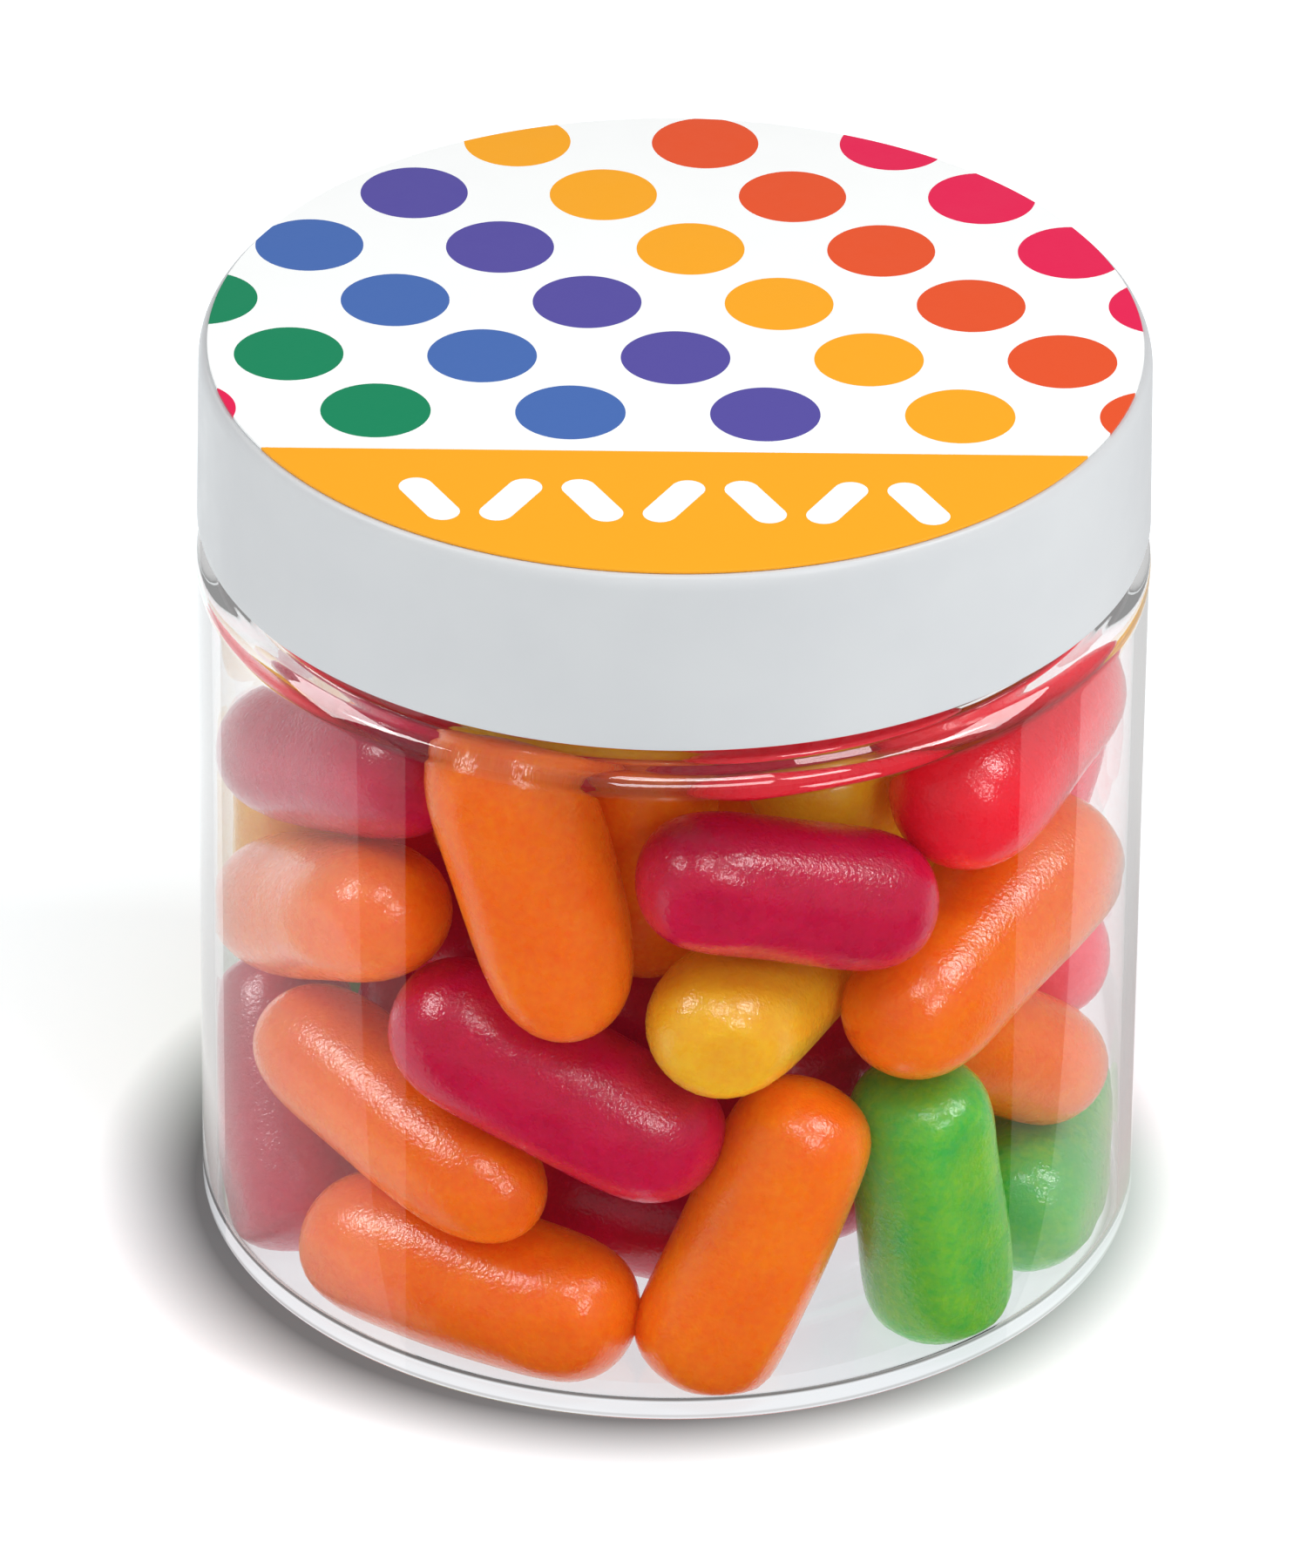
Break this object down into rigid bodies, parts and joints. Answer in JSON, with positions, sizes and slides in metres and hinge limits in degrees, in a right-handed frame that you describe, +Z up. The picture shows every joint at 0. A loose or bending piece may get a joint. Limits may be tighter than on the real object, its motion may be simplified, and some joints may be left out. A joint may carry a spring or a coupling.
{
  "type": "jar of jelly beans",
  "caption": "Round clear plastic jar with a white screw cap, a dotted disc on the cap and a heap of capsule-shaped fruit sweets inside.",
  "frame": {"origin": "middle of the foot ring's plane, under the jar's axis, on the surface the jar stands on", "axes": "+Z up the jar's axis through the cap; -Y is the side seen from the front, +X to its right"},
  "size_m": [0.0652, 0.0652, 0.0664],
  "materials": {
    "clear_plastic": "clear, polished",
    "white_plastic": "satin",
    "printed_film": "satin print",
    "sweet_orange": "glossy sugar shell",
    "sweet_cherry": "glossy sugar shell",
    "sweet_red": "glossy sugar shell",
    "sweet_pink": "glossy sugar shell",
    "sweet_lemon": "glossy sugar shell",
    "sweet_lime": "glossy sugar shell"
  },
  "bodies": {
    "root": {"jar": "clear_plastic", "lid": "white_plastic", "label": "printed_film", "sweets": "sweet_orange"}
  },
  "joints": []
}
